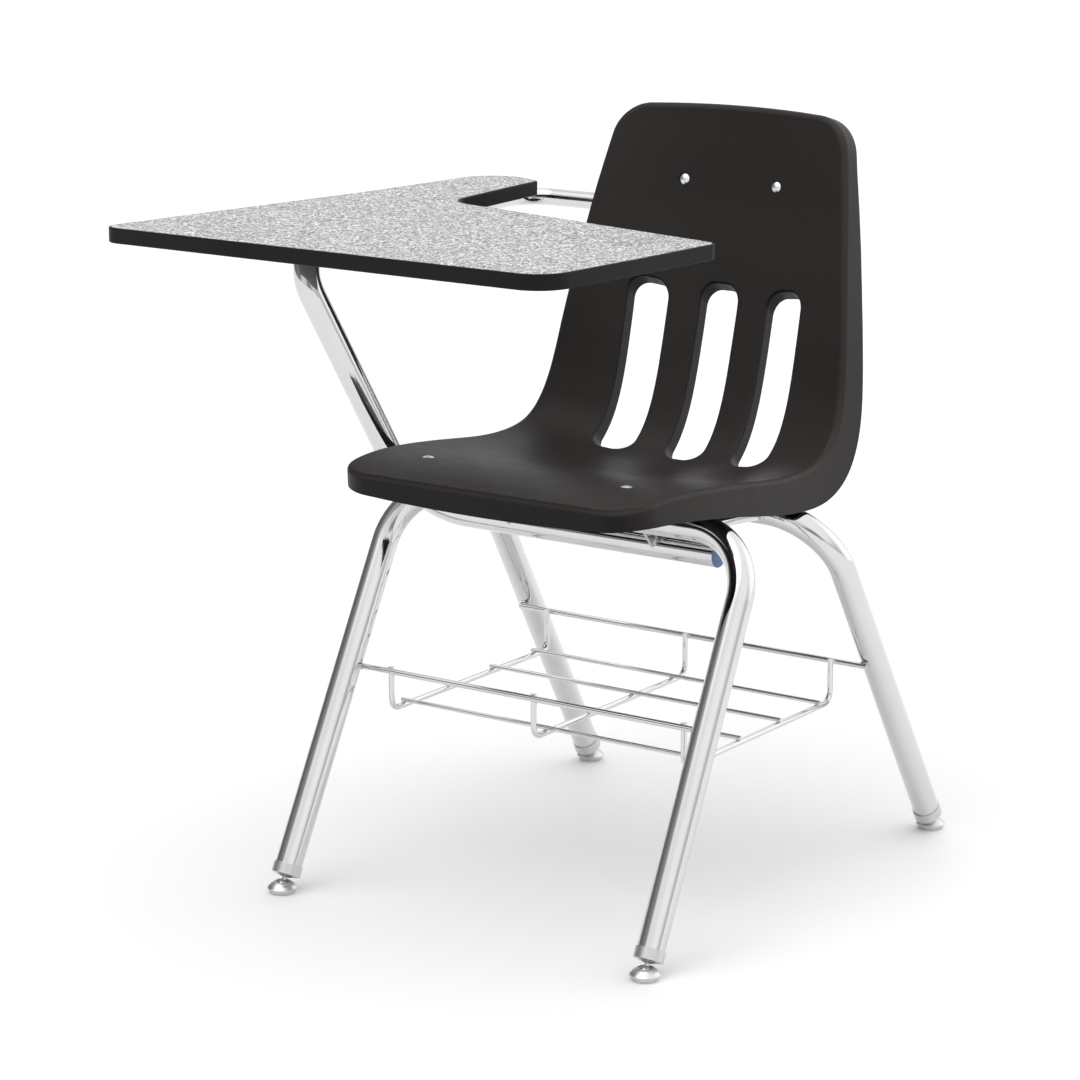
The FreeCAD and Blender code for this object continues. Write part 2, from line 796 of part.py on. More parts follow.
def tablet_core():
    """Board with the groove for the band and the screw holes."""
    core = tablet_slab(band_width, tablet_bottom + backer_thick, tablet_top - laminate_thick)
    core = core.cut(barb_ring())
    for shank in screw_shanks(front_plate) + screw_shanks(rear_plate):
        core = core.cut(shank)
    return one_solid(core)


def tablet_backer():
    """Thin sheet under the board."""
    sheet = tablet_slab(band_width, tablet_bottom, tablet_bottom + backer_thick)
    for shank in screw_shanks(front_plate) + screw_shanks(rear_plate):
        sheet = sheet.cut(shank)
    return one_solid(sheet)


# ---------------------------------------------------------------- book rack
def rack_rail_axis(front):
    """y of a rack rail, which lies against the inner side of the two legs."""
    lean = leg_lean_front if front else leg_lean_rear
    leg_y = ball_centre(1, front).y + lean * (rack_rail_z - ball_z)
    reach = (tube_r + wire_r - weld_sink) * math.sqrt(1 + lean * lean)
    return leg_y + (reach if front else -reach)


def cradle_y(front):
    """y of the cradle uprights, which lie against the rail."""
    reach = 2 * wire_r - weld_sink
    return rack_rail_axis(front) + (reach if front else -reach)


def rack_rail(front, core):
    """Wire across the chair, welded to both legs."""
    leg_x = glide_half_width - leg_lean_in * (rack_rail_z - ball_z)
    half = leg_x + rack_rail_overhang
    start = V(-half, rack_rail_axis(front), rack_rail_z)
    return one_solid(Part.makeCylinder(wire_r, 2 * half, start, X_AXIS).cut(core))


def cradle_core(x):
    """U of wire that hangs between the two rails."""
    corners = [
        V(x, cradle_y(True), rack_top_z),
        V(x, cradle_y(True), rack_low_z),
        V(x, cradle_y(False), rack_low_z),
        V(x, cradle_y(False), rack_top_z),
    ]
    return swept_rod(bent_path(corners, [rack_bend, rack_bend]), wire_r)


def floor_wire(y, cradles):
    """Thin wire that lies across the cradles."""
    z = rack_low_z + wire_r + floor_wire_r - weld_sink
    wire = Part.makeCylinder(floor_wire_r, 2 * floor_wire_half, V(-floor_wire_half, y, z), X_AXIS)
    for cradle in cradles:
        wire = wire.cut(cradle)
    return one_solid(wire)


# ---------------------------------------------------------------- all sub-parts
def make_leg_frames(front_core, rear_core):
    part("leg_frame_front", leg_frame(True))
    part("leg_frame_rear", leg_frame(False))
    link = side_link(front_core, rear_core)
    part("side_link_left", link)
    part("side_link_right", mirrored(link))
    rail = seat_rail(front_core, rear_core)
    part("seat_rail_left", rail)
    part("seat_rail_right", mirrored(rail))


def make_seat(shell):
    part("seat_shell", shell)
    seat_lines, back_lines = rivet_lines()
    brace_core = swept_rod(brace_path(), brace_r)
    for name, seat_line, back_line in zip(("right", "left"), seat_lines, back_lines):
        part("seat_rivet_" + name, seat_rivet(*seat_line))
        part("seat_washer_" + name, seat_washer(*seat_line, shell))
        part("back_rivet_" + name, back_rivet(*back_line, brace_core))
        part("back_spacer_" + name, back_spacer(*back_line, shell, brace_core))


def make_arm(front_core):
    path = arm_path()
    arm_core = swept_rod(path, tube_r)
    part("tablet_arm_tube", one_solid(swept_tube(path, tube_r, tube_wall).cut(front_core)))
    for name, x in (("right", -gusset_x), ("left", gusset_x)):
        part("arm_gusset_" + name, arm_gusset(x, front_core, arm_core))
    low_end = V(arm_low_end_x, arm_low_y, arm_low_z)
    part("arm_plug_low", end_plug(low_end, X_AXIS, tube_r, tube_wall))
    top_end = V(arm_x, arm_rear_end_y, arm_top_z)
    part("arm_plug_rear", end_plug(top_end, Y_AXIS, tube_r, tube_wall))
    part("mounting_plate_front", mounting_plate(front_plate, arm_core))
    part("mounting_plate_rear", mounting_plate(rear_plate, arm_core))
    back_lines = rivet_lines()[1]
    part("back_brace_tube", brace_tube(arm_core, back_lines))
    brace = brace_path()
    start = V(brace_x, brace_start_y, brace_z)
    part("brace_plug_front", end_plug(start, -Y_AXIS, brace_r, brace_wall).cut(arm_core))
    end = brace.OrderedVertexes[-1].Point
    part("brace_plug_end", end_plug(end, X_AXIS, brace_r, brace_wall))


def make_tablet():
    part("tablet_core", tablet_core())
    part("tablet_laminate", tablet_slab(band_width, tablet_top - laminate_thick, tablet_top))
    part("tablet_backer", tablet_backer())
    part("tablet_edge_band", edge_band())
    part("tablet_screws_front", screws(front_plate))
    part("tablet_screws_rear", screws(rear_plate))


def make_rack(front_core, rear_core):
    front_rail = part("rack_rail_front", rack_rail(True, front_core))
    rear_rail = part("rack_rail_rear", rack_rail(False, rear_core))
    cradles = []
    for name, x in (("right", -rack_half_width), ("middle", 0), ("left", rack_half_width)):
        cradle = cradle_core(x)
        cradles.append(cradle)
        part("rack_cradle_" + name, one_solid(cradle.cut(front_rail).cut(rear_rail)))
    for i, y in enumerate(floor_wire_ys):
        part("rack_floor_wire_%d" % (i + 1), floor_wire(y, cradles))


def make_glides():
    for front, along in ((True, "front"), (False, "rear")):
        for side, across in ((-1, "right"), (1, "left")):
            place = "_%s_%s" % (along, across)
            part("glide_ferrule" + place, glide_ferrule(side, front))
            part("glide_stud" + place, glide_stud(side, front))
            part("glide_socket" + place, glide_socket(side, front))
            part("glide_foot" + place, glide_foot(side, front))


def make_all():
    front_core = leg_frame_core(True)
    rear_core = leg_frame_core(False)
    make_leg_frames(front_core, rear_core)
    make_seat(seat_shell())
    make_arm(front_core)
    make_tablet()
    make_rack(front_core, rear_core)
    make_glides()


make_all()
os.makedirs("parts", exist_ok=True)
for name, shape in PARTS.items():
    if not shape.isValid():
        raise ValueError(name + " is not valid")
    shape.exportStep("parts/%s.step" % name)
    print(name, len(shape.Solids), round(shape.Volume, 1))
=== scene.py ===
"""Looks of the student desk chair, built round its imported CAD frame.

Lengths are in metres. +Z is up, the sitter faces -Y and the tablet is at -X.
"""
import json
import math

import bmesh
import bpy
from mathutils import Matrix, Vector, noise


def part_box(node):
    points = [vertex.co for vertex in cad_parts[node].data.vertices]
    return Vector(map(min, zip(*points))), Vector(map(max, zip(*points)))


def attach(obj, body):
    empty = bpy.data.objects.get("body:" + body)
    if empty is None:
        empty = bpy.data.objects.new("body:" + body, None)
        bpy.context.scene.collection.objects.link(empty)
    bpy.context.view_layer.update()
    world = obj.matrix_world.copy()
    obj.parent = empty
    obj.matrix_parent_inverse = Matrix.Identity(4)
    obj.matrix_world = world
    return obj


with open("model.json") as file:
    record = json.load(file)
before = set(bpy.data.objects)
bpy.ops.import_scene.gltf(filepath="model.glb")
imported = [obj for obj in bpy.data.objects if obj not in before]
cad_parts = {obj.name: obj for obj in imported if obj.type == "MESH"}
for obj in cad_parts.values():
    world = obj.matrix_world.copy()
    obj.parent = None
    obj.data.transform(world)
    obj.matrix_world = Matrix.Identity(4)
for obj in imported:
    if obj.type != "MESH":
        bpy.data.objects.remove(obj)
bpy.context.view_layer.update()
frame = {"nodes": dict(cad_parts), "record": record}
nodes = frame["nodes"]
scene = bpy.context.scene


# ---------------------------------------------------------------- node trees
class Shader:
    """A material's node tree, with short calls for the nodes used here."""

    def __init__(self, name):
        self.material = bpy.data.materials.new(name)
        self.material.use_nodes = True
        self.tree = self.material.node_tree
        self.tree.nodes.clear()
        self.surface = self.node("ShaderNodeBsdfPrincipled")
        output = self.node("ShaderNodeOutputMaterial")
        self.link(self.surface.outputs["BSDF"], output.inputs["Surface"])
        self.place = self.node("ShaderNodeTexCoord").outputs["Object"]

    def node(self, kind, **values):
        made = self.tree.nodes.new(kind)
        for key, value in values.items():
            setattr(made, key, value)
        return made

    def link(self, start, end):
        self.tree.links.new(start, end)

    def set(self, **values):
        """Values of the shader's own sockets, written with _ for a space."""
        for key, value in values.items():
            self.surface.inputs[key.replace("_", " ")].default_value = value

    def scaled(self, scale):
        """The place vector, stretched by a factor along each axis."""
        mapping = self.node("ShaderNodeMapping")
        mapping.inputs["Scale"].default_value = scale
        self.link(self.place, mapping.inputs["Vector"])
        return mapping.outputs["Vector"]

    def noise(self, scale, detail=3.0, rough=0.5, vector=None):
        """Soft noise, with scale in lumps per metre."""
        made = self.node("ShaderNodeTexNoise")
        made.inputs["Scale"].default_value = scale
        made.inputs["Detail"].default_value = detail
        made.inputs["Roughness"].default_value = rough
        self.link(vector or self.place, made.inputs["Vector"])
        return made.outputs["Fac"]

    def cells(self, scale, feature="F1", vector=None):
        """Voronoi cells, with scale in cells per metre."""
        made = self.node("ShaderNodeTexVoronoi", feature=feature)
        made.inputs["Scale"].default_value = scale
        self.link(vector or self.place, made.inputs["Vector"])
        return made

    def sum(self, a, b):
        """The sum of two values."""
        made = self.node("ShaderNodeMath", operation="ADD")
        self.link(a, made.inputs[0])
        self.link(b, made.inputs[1])
        return made.outputs[0]

    def between(self, factor, low, high, from_low=0.0, from_high=1.0):
        """A value that runs from low to high as factor runs over its range."""
        made = self.node("ShaderNodeMapRange")
        made.inputs["From Min"].default_value = from_low
        made.inputs["From Max"].default_value = from_high
        made.inputs["To Min"].default_value = low
        made.inputs["To Max"].default_value = high
        self.link(factor, made.inputs["Value"])
        return made.outputs["Result"]

    def colours(self, factor, stops):
        """A colour ramp: stops of (position, (r, g, b))."""
        made = self.node("ShaderNodeValToRGB")
        ramp = made.color_ramp
        while len(ramp.elements) < len(stops):
            ramp.elements.new(0.5)
        for element, (position, colour) in zip(ramp.elements, stops):
            element.position = position
            element.color = (*colour, 1.0)
        self.link(factor, made.inputs["Fac"])
        return made.outputs["Color"]

    def mixed(self, factor, a, b):
        """Colour a where factor is 0 and colour b where it is 1."""
        made = self.node("ShaderNodeMix", data_type="RGBA")
        self.link(factor, made.inputs["Factor"])
        self.link(a, made.inputs["A"])
        self.link(b, made.inputs["B"])
        return made.outputs["Result"]

    def channel(self, colour, name):
        """One channel of a colour, as a value."""
        made = self.node("ShaderNodeSeparateColor")
        self.link(colour, made.inputs["Color"])
        return made.outputs[name]

    def bump(self, height, strength, distance):
        """A normal that follows a height, with the distance in metres."""
        made = self.node("ShaderNodeBump")
        made.inputs["Strength"].default_value = strength
        made.inputs["Distance"].default_value = distance
        self.link(height, made.inputs["Height"])
        return made.outputs["Normal"]

    def finish(self, colour, roughness, normal=None):
        """Link the results to the shader and give back the material."""
        for name, value in (("Base Color", colour), ("Roughness", roughness), ("Normal", normal)):
            if value is not None:
                self.link(value, self.surface.inputs[name])
        return self.material


def grey(value):
    """A neutral colour."""
    return (value, value, value)


# ---------------------------------------------------------------- materials
PLASTIC_IOR = 1.49
PLASTIC_CLOUDS = 7.0                # soft patches of colour, per metre
PLASTIC_PEBBLES = 620.0             # cells of the moulded grain, per metre
PLASTIC_GRAIN_DEPTH = 0.0002


def pebbled(s, colour, rough, grain):
    """Finish a plastic with a fine pebble grain and slightly uneven gloss."""
    roughness = s.between(s.noise(35.0, 5.0, 0.6), rough - 0.02, rough + 0.03, 0.3, 0.7)
    pebbles = s.cells(PLASTIC_PEBBLES, "SMOOTH_F1").outputs["Distance"]
    height = s.sum(pebbles, s.noise(1400.0, 2.0))
    return s.finish(colour, roughness, s.bump(height, grain, PLASTIC_GRAIN_DEPTH))


def moulded_plastic(name, dark, light, rough, grain):
    """Plain moulded plastic."""
    s = Shader(name)
    s.set(IOR=PLASTIC_IOR, Specular_IOR_Level=0.1)
    colour = s.colours(s.noise(PLASTIC_CLOUDS, 4.0), [(0.3, dark), (0.7, light)])
    return pebbled(s, colour, rough, grain)


def shell_plastic(name):
    """The shell's moulded plastic: near black, with painted light that makes upward faces lighter and
    painted shade on faces turned sideways or down.
    """
    s = Shader(name)
    s.set(IOR=PLASTIC_IOR, Specular_IOR_Level=0.14)
    facing = s.node("ShaderNodeSeparateXYZ")
    s.link(s.node("ShaderNodeNewGeometry").outputs["Normal"], facing.inputs["Vector"])
    # Painted light and shade: the colour runs from a darker tone on faces turned sideways or down to a
    # lighter tone on faces turned up, standing in for how the light falls on them.
    upward_light_mask = s.between(facing.outputs["Z"], 0.0, 1.0, -0.15, 0.35)
    clouds = s.noise(PLASTIC_CLOUDS, 4.0)
    shaded_side_colour = s.colours(clouds, [(0.3, (0.0056, 0.0051, 0.0048)), (0.7, (0.0070, 0.0064, 0.0060))])
    lit_top_colour = s.colours(clouds, [(0.3, (0.0285, 0.0249, 0.0232)), (0.7, (0.0322, 0.0283, 0.0263))])
    return pebbled(s, s.mixed(upward_light_mask, shaded_side_colour, lit_top_colour), 0.44, 0.5)


def chrome(name, value, rough):
    """Bright plate on tube: faint polish marks and a slightly wavy surface."""
    s = Shader(name)
    s.set(Metallic=1.0)
    clouds = s.noise(11.0, 3.0)
    colour = s.colours(clouds, [(0.25, grey(value - 0.04)), (0.75, grey(value))])
    fine = s.noise(420.0, 4.0, 0.65)
    roughness = s.between(fine, rough - 0.02, rough + 0.05, 0.35, 0.75)
    wave = s.noise(38.0, 2.0)
    return s.finish(colour, roughness, s.bump(wave, 0.10, 0.0004))


def cast_nickel(name, value, rough, grain):
    """Satin nickel with the fine granular skin of a pressed and tumbled piece."""
    s = Shader(name)
    s.set(Metallic=1.0)
    speckle = s.noise(700.0, 3.0, 0.6)
    colour = s.colours(speckle, [(0.3, grey(value * 0.88)), (0.7, grey(value))])
    roughness = s.between(s.noise(900.0, 3.0), rough - 0.04, rough + 0.06, 0.3, 0.7)
    return s.finish(colour, roughness, s.bump(speckle, grain, 0.00014))


def laminate(name):
    """Light grey laminate with flecks from near black to white in two sizes."""
    s = Shader(name)
    s.set(IOR=1.5)
    large = s.colours(s.channel(s.cells(480.0).outputs["Color"], "Red"), [
        (0.0, grey(0.03)), (0.25, grey(0.12)), (0.5, grey(0.37)),
        (0.75, grey(0.72)), (1.0, grey(0.97)),
    ])
    small = s.channel(s.cells(900.0).outputs["Color"], "Green")
    fine = s.colours(small, [(0.1, grey(0.07)), (0.9, grey(0.80))])
    colour = s.mixed(s.between(s.noise(300.0, 2.0), 0.0, 0.4, 0.35, 0.65), large, fine)
    roughness = s.between(s.noise(90.0, 4.0), 0.38, 0.48, 0.3, 0.7)
    return s.finish(colour, roughness, s.bump(s.noise(1500.0, 2.0), 0.25, 0.00006))


def particle_board(name):
    """Pressed chips of wood."""
    s = Shader(name)
    chips = s.channel(s.cells(210.0, vector=s.scaled((1.0, 1.0, 3.0))).outputs["Color"], "Green")
    colour = s.colours(chips, [
        (0.0, (0.20, 0.12, 0.06)), (0.5, (0.42, 0.29, 0.17)), (1.0, (0.62, 0.47, 0.31)),
    ])
    return s.finish(colour, s.between(s.noise(500.0), 0.7, 0.9), s.bump(chips, 0.4, 0.0003))


def backing_sheet(name):
    """Dark brown backing sheet with faint fibres."""
    s = Shader(name)
    fibres = s.noise(320.0, 5.0, 0.7, s.scaled((1.0, 0.12, 1.0)))
    colour = s.colours(fibres, [(0.3, (0.045, 0.038, 0.033)), (0.7, (0.085, 0.073, 0.064))])
    return s.finish(colour, s.between(fibres, 0.45, 0.62, 0.3, 0.7), s.bump(fibres, 0.3, 0.0001))


def nylon(name):
    """Natural nylon: milky, a little translucent."""
    s = Shader(name)
    s.set(Subsurface_Weight=0.25, Subsurface_Scale=0.004)
    clouds = s.noise(160.0, 4.0)
    colour = s.colours(clouds, [(0.3, (0.60, 0.59, 0.54)), (0.7, (0.76, 0.75, 0.71))])
    return s.finish(colour, s.between(clouds, 0.38, 0.5, 0.3, 0.7), s.bump(s.noise(900.0), 0.2, 0.0001))


# The material of each slot of the record.
PLUG_BLUE = ((0.095, 0.165, 0.285), (0.115, 0.190, 0.320))
LOOKS = {
    "shell": shell_plastic("shell_plastic"),
    "chrome": chrome("tube_chrome", 0.68, 0.07),
    "chrome_wire": chrome("wire_chrome", 0.70, 0.08),
    "bracket_steel": cast_nickel("bracket_steel", 0.58, 0.30, 0.25),
    "rivet": cast_nickel("rivet_aluminium", 0.92, 0.34, 0.02),
    "washer": moulded_plastic("washer_rubber", grey(0.018), grey(0.028), 0.62, 0.3),
    "spacer": moulded_plastic("spacer_plastic", grey(0.022), grey(0.032), 0.5, 0.3),
    "plug_blue": moulded_plastic("plug_blue_plastic", *PLUG_BLUE, 0.42, 0.25),
    "plug_black": moulded_plastic("plug_black_plastic", grey(0.018), grey(0.026), 0.42, 0.25),
    "board": particle_board("board_chips"),
    "laminate": laminate("laminate_grey"),
    "backer": backing_sheet("backing_brown"),
    "edge_band": moulded_plastic("edge_band_plastic", grey(0.010), grey(0.014), 0.42, 0.3),
    "screw": cast_nickel("screw_zinc", 0.60, 0.28, 0.2),
    "ferrule": cast_nickel("ferrule_nickel", 0.64, 0.33, 0.7),
    "stud": cast_nickel("stud_zinc", 0.55, 0.30, 0.3),
    "socket": nylon("socket_nylon"),
    "foot": cast_nickel("foot_nickel", 0.68, 0.30, 0.75),
}

# Every CAD piece takes the material that belongs to its slot in the record.
for entry in frame["record"]["subparts"]:
    slots = nodes[entry["node"]].data.materials
    if not slots:
        slots.append(None)
    for i in range(len(slots)):
        slots[i] = LOOKS[entry["material_slot"]]


# ---------------------------------------------------------------- weld beads
TUBE_R = 0.0143                     # leg frames and tablet arm
BEAD_RADII = {
    "weld_rack_crossings": 0.0010,
    "weld_rack_uprights": 0.0012,
    "weld_rack_legs": 0.0016,
    "weld_side_links": 0.0017,
    "weld_seat_rails": 0.0016,
    "weld_gussets": 0.0017,
    "weld_mounting_plates": 0.0019,
    "weld_brace": 0.0019,
}
BEAD_SIDES = 10
BEAD_STEP = 0.0005                  # distance between the rings of a bead
BEAD_END = 0.25                     # radius of a bead's very end, as a share of the full radius
RIPPLE_LENGTH = 0.0021
RIPPLE_HEIGHT = 0.10                # of the bead's radius
LUMP_HEIGHT = 0.22                  # of the bead's radius
LUMPS_PER_METRE = 520.0
PROUD = 0.0004                      # how far a bead's centre lies outside the corner that it fills
GUSSET_PROUD = 0.0005               # the same, over the tube at a gusset
RING_STEPS = 90                     # steps of the ring round a side link
STRAP_HALF_ANGLE = 32.0             # degrees of tube that a seat rail's bead covers, to each side
GUSSET_HALF_ANGLE = 40.0
ARM_SEAM_OFFSET = 0.0048            # sideways from the arm's middle line, on a mounting plate
ARM_SEAM_INSET = 0.003              # from a plate's front and rear edge
ARM_SEAM_DROP = 0.0006              # below the plate
BRACE_SEAM_OFFSET = 0.0042          # sideways from the line in which arm and brace touch
BRACE_SEAM_START = 0.004            # behind the middle of the brace's front plug
BRACE_SEAM_LENGTH = 0.014
RAIL_SEAM_LENGTH = 0.009
# The place and half length of a bead between two wires, or a rail and a leg, in radii of the wire.
CROSSING_SIDE, CROSSING_DROP, CROSSING_REACH = 0.75, 0.6, 0.7
UPRIGHT_SIDE, UPRIGHT_REACH = 0.8, 0.9
RAIL_SIDE, RAIL_RISE = 0.75, 0.85


def middle(node):
    """Centre of a node's box."""
    low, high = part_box(node)
    return (low + high) / 2


def thickness(node, axis):
    """Size of a node's box along an axis (0, 1 or 2)."""
    low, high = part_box(node)
    return (high - low)[axis]


def line(start, end):
    """Evenly spaced points from start to end."""
    start, end = Vector(start), Vector(end)
    count = max(6, round((end - start).length / BEAD_STEP))
    return [start.lerp(end, i / count) for i in range(count + 1)]


def arc_over(centre, radius, towards, half_angle):
    """Points on a tube along X, to both sides of the direction towards, in the YZ plane."""
    along = Vector((0, towards.y, towards.z)).normalized()
    across = Vector((0, -along.z, along.y))
    count = max(6, round(2 * half_angle * radius / BEAD_STEP))
    angles = [half_angle * (2 * i / count - 1) for i in range(count + 1)]
    return [centre + (along * math.cos(a) + across * math.sin(a)) * radius for a in angles]


def add_bead(form, points, radius):
    """Rippled bead of weld metal along a line of points, drawn in at both ends."""
    rings = []
    run = 0.0
    total = sum((b - a).length for a, b in zip(points, points[1:]))
    for i, point in enumerate(points):
        ahead = points[min(i + 1, len(points) - 1)] - points[max(i - 1, 0)]
        tangent = ahead.normalized()
        side = tangent.orthogonal().normalized()
        up = tangent.cross(side)
        if i:
            run += (point - points[i - 1]).length
        drawn_in = min(1.0, BEAD_END + (1 - BEAD_END) * min(run, total - run) / radius)
        ripple = 1.0 + RIPPLE_HEIGHT * math.cos(2 * math.pi * run / RIPPLE_LENGTH)
        ring = []
        for k in range(BEAD_SIDES):
            angle = 2 * math.pi * k / BEAD_SIDES
            out = side * math.cos(angle) + up * math.sin(angle)
            lump = 1.0 + LUMP_HEIGHT * noise.noise((point + out * radius) * LUMPS_PER_METRE)
            ring.append(form.verts.new(point + out * (radius * drawn_in * ripple * lump)))
        rings.append(ring)
    for a, b in zip(rings, rings[1:]):
        for k in range(BEAD_SIDES):
            form.faces.new((a[k], a[k - 1], b[k - 1], b[k]))
    form.faces.new(rings[0])
    form.faces.new(list(reversed(rings[-1])))


def weld(name, beads):
    """One piece for all the beads of a kind, fixed to the chair."""
    form = bmesh.new()
    for points in beads:
        add_bead(form, points, BEAD_RADII[name])
    bmesh.ops.recalc_face_normals(form, faces=form.faces[:])
    mesh = bpy.data.meshes.new(name)
    form.to_mesh(mesh)
    form.free()
    mesh.shade_smooth()
    mesh.materials.append(WELD)
    piece = bpy.data.objects.new(name, mesh)
    scene.collection.objects.link(piece)
    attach(piece, "chair")


def rack_welds():
    """Beads where the wires of the rack meet, and where its rails meet the legs."""
    cradles = ["rack_cradle_" + name for name in ("right", "middle", "left")]
    wire_r = thickness(cradles[0], 0) / 2
    crossings = []
    for cradle in cradles:
        x = middle(cradle).x
        for i in range(1, 5):
            wire = middle("rack_floor_wire_%d" % i)
            half = thickness("rack_floor_wire_%d" % i, 1) / 2
            reach = CROSSING_REACH * wire_r
            for side in (-1, 1):
                y = wire.y + side * CROSSING_SIDE * half
                z = wire.z - CROSSING_DROP * half
                crossings.append(line((x - reach, y, z), (x + reach, y, z)))
    weld("weld_rack_crossings", crossings)
    uprights = []
    legs = []
    for name, outward in (("front", -1), ("rear", 1)):
        rail = middle("rack_rail_" + name)
        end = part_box("rack_rail_" + name)[1].x
        y = rail.y - outward * wire_r
        reach = UPRIGHT_REACH * wire_r
        for cradle in cradles:
            for side in (-1, 1):
                x = middle(cradle).x + side * UPRIGHT_SIDE * wire_r
                uprights.append(line((x, y, rail.z - reach), (x, y, rail.z + reach)))
        for side in (-1, 1):
            for rise in (-1, 1):
                z = rail.z + rise * RAIL_RISE * wire_r
                y = rail.y + outward * RAIL_SIDE * wire_r
                legs.append(line((side * (end - RAIL_SEAM_LENGTH), y, z), (side * end, y, z)))
    weld("weld_rack_uprights", uprights)
    weld("weld_rack_legs", legs)


def frame_tops():
    """Centres of the two leg frames' top tubes in the YZ plane, at x = 0."""
    front_low, front_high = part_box("leg_frame_front")
    rear_low, rear_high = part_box("leg_frame_rear")
    front = Vector((0, front_high.y - TUBE_R, front_high.z - TUBE_R))
    rear = Vector((0, rear_low.y + TUBE_R, rear_high.z - TUBE_R))
    return front, rear


def link_welds():
    """Rings where the side links meet the leg frames."""
    front, rear = frame_tops()
    along = (rear - front).normalized()
    up = Vector((1, 0, 0)).cross(along)
    beads = []
    for node in ("side_link_left", "side_link_right"):
        x = Vector((middle(node).x, 0, 0))
        radius = thickness(node, 0) / 2
        for top, heading in ((front, along), (rear, -along)):
            ring = []
            for i in range(RING_STEPS + 1):
                angle = 2 * math.pi * i / RING_STEPS
                rise = radius * math.sin(angle)
                reach = math.sqrt(TUBE_R ** 2 - rise ** 2)
                out = Vector((radius * math.cos(angle), 0, 0)) + up * rise
                ring.append(top + x + out + heading * reach)
            beads.append(ring)
    weld("weld_side_links", beads)


def side_beads(names, pairs, radius, half_angle):
    """Beads on both sides of each node, over tubes along X: pairs of (tube's centre, direction)."""
    beads = []
    for node in names:
        low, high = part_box(node)
        for x in (low.x - PROUD, high.x + PROUD):
            for centre, towards in pairs:
                middle_of_arc = centre + Vector((x, 0, 0))
                beads.append(arc_over(middle_of_arc, radius, towards, math.radians(half_angle)))
    return beads


def strap_welds():
    """Beads that hold the seat rails and the arm's gussets to the tubes."""
    front, rear = frame_tops()
    up = Vector((1, 0, 0)).cross((rear - front).normalized())
    rails = ("seat_rail_left", "seat_rail_right")
    over = ((front, up), (rear, up))
    weld("weld_seat_rails", side_beads(rails, over, TUBE_R + PROUD, STRAP_HALF_ANGLE))
    crossbar = middle("arm_plug_low")
    crossbar.x = 0
    gussets = ("arm_gusset_left", "arm_gusset_right")
    facing = ((front, crossbar - front), (crossbar, front - crossbar))
    weld("weld_gussets", side_beads(gussets, facing, TUBE_R + GUSSET_PROUD, GUSSET_HALF_ANGLE))


def arm_welds():
    """Beads along the arm tube: at its two mounting plates and at the brace."""
    arm = middle("arm_plug_rear")
    plates = []
    for node in ("mounting_plate_front", "mounting_plate_rear"):
        low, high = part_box(node)
        z = low.z - ARM_SEAM_DROP
        for side in (-1, 1):
            x = arm.x + side * ARM_SEAM_OFFSET
            plates.append(line((x, low.y + ARM_SEAM_INSET, z), (x, high.y - ARM_SEAM_INSET, z)))
    weld("weld_mounting_plates", plates)
    brace = middle("brace_plug_front")
    towards = Vector((brace.x - arm.x, 0, brace.z - arm.z)).normalized()
    across = Vector((-towards.z, 0, towards.x))
    contact = Vector((arm.x, brace.y + BRACE_SEAM_START, arm.z)) + towards * TUBE_R
    seams = []
    for side in (-1, 1):
        start = contact + across * (side * BRACE_SEAM_OFFSET)
        seams.append(line(start, start + Vector((0, BRACE_SEAM_LENGTH, 0))))
    weld("weld_brace", seams)


WELD = chrome("weld_chrome", 0.70, 0.16)
rack_welds()
link_welds()
strap_welds()
arm_welds()


# ---------------------------------------------------------------- floor, light and camera
FLOOR_HALF_SIZE = 400.0
CAMERA_LENS = 119.01                # millimetres, on a sensor 36 wide
CAMERA_PLACE = (2.01941, -3.08504, 1.23670)
CAMERA_PITCH = 76.435               # degrees from straight down
CAMERA_HEADING = 34.747             # degrees about Z


def floor():
    """Large pale floor that fills the view."""
    mesh = bpy.data.meshes.new("studio_floor")
    form = bmesh.new()
    bmesh.ops.create_grid(form, x_segments=2, y_segments=2, size=FLOOR_HALF_SIZE)
    form.to_mesh(mesh)
    form.free()
    made = bpy.data.objects.new("studio_floor", mesh)
    scene.collection.objects.link(made)
    s = Shader("studio_floor")
    s.set(Specular_IOR_Level=0.2)
    colour = s.colours(s.noise(0.6, 2.0), [(0.3, grey(0.885)), (0.7, grey(0.90))])
    mesh.materials.append(s.finish(colour, s.between(s.noise(3.0), 0.5, 0.6)))


# The studio's light by direction, each panel over the ones before it: where it stands, the radiance
# there, the cosine from its middle at which it has faded out, and the cosine from which it is full.
STUDIO_PANELS = (
    ((0.72, -0.40, 0.57), 1.20, 0.80, 0.97),
    ((-0.24, -0.32, 0.92), 2.65, 0.78, 0.99),
    ((0.55, 0.80, 0.25), 1.50, 0.70, 0.96),
    ((0.05, -1.00, 0.00), 0.84, 0.88, 0.995),
    ((-0.95, -0.12, 0.20), 0.18, 0.50, 0.975),
    ((-0.54, -0.80, 0.25), 0.26, 0.92, 0.99),
    ((0.62, -0.78, 0.04), 0.34, 0.93, 0.99),
)
# Radiance between the panels, from straight down (0.0) over the horizon (0.5) to straight up (1.0).
SKY_BY_HEIGHT = ((0.0, 0.60), (0.5, 0.62), (0.60, 0.80), (0.75, 1.04), (1.0, 1.26))


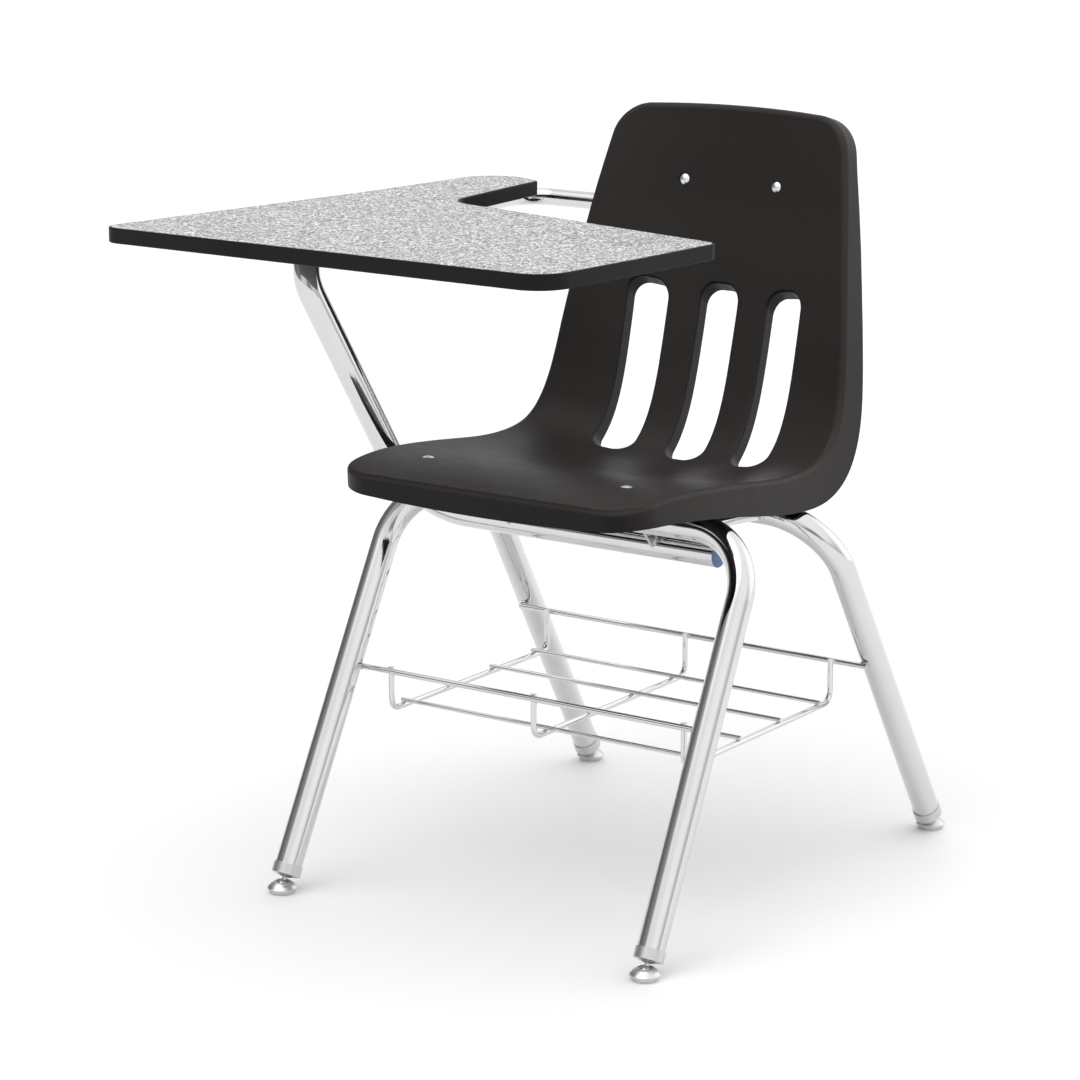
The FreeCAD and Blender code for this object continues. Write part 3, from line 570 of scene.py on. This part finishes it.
def studio_sky():
    """Soft white studio: brighter overhead, with light panels, dark screens and a white backdrop."""
    world = bpy.data.worlds.new("studio")
    scene.world = world
    world.use_nodes = True
    tree = world.node_tree
    new = tree.nodes.new
    link = tree.links.new
    background = tree.nodes["Background"]
    heading = new("ShaderNodeTexCoord").outputs["Generated"]
    parts = new("ShaderNodeSeparateXYZ")
    link(heading, parts.inputs["Vector"])
    height = new("ShaderNodeMapRange")
    height.inputs["From Min"].default_value = -1.0
    link(parts.outputs["Z"], height.inputs["Value"])
    ramp = new("ShaderNodeValToRGB")
    while len(ramp.color_ramp.elements) < len(SKY_BY_HEIGHT):
        ramp.color_ramp.elements.new(0.5)
    for element, (position, value) in zip(ramp.color_ramp.elements, SKY_BY_HEIGHT):
        element.position = position
        element.color = (*grey(value), 1.0)
    link(height.outputs["Result"], ramp.inputs["Fac"])
    radiance = ramp.outputs["Color"]
    for direction, value, fade_from, full_from in STUDIO_PANELS:
        aim = new("ShaderNodeVectorMath")
        aim.operation = "DOT_PRODUCT"
        aim.inputs[1].default_value = Vector(direction).normalized()
        link(heading, aim.inputs[0])
        edge = new("ShaderNodeMapRange")
        edge.interpolation_type = "SMOOTHSTEP"
        edge.inputs["From Min"].default_value = fade_from
        edge.inputs["From Max"].default_value = full_from
        link(aim.outputs["Value"], edge.inputs["Value"])
        blend = new("ShaderNodeMix")
        blend.data_type = "RGBA"
        blend.inputs["B"].default_value = (*grey(value), 1.0)
        link(edge.outputs["Result"], blend.inputs["Factor"])
        link(radiance, blend.inputs["A"])
        radiance = blend.outputs["Result"]
    link(radiance, background.inputs["Color"])
    backdrop = new("ShaderNodeBackground")
    backdrop.inputs["Color"].default_value = (1.0, 1.0, 1.0, 1.0)
    shown = new("ShaderNodeMixShader")
    link(new("ShaderNodeLightPath").outputs["Is Camera Ray"], shown.inputs[0])
    link(background.outputs["Background"], shown.inputs[1])
    link(backdrop.outputs["Background"], shown.inputs[2])
    link(shown.outputs["Shader"], tree.nodes["World Output"].inputs["Surface"])


def camera():
    """The main view, from the front and the sitter's left, looking down at 13.6 degrees."""
    data = bpy.data.cameras.new("camera")
    data.lens = CAMERA_LENS
    data.sensor_width = 36.0
    data.clip_end = 100.0
    made = bpy.data.objects.new("camera", data)
    scene.collection.objects.link(made)
    made.location = CAMERA_PLACE
    made.rotation_euler = (math.radians(CAMERA_PITCH), 0.0, math.radians(CAMERA_HEADING))
    scene.camera = made


floor()
studio_sky()
camera()
scene.view_settings.view_transform = "Standard"
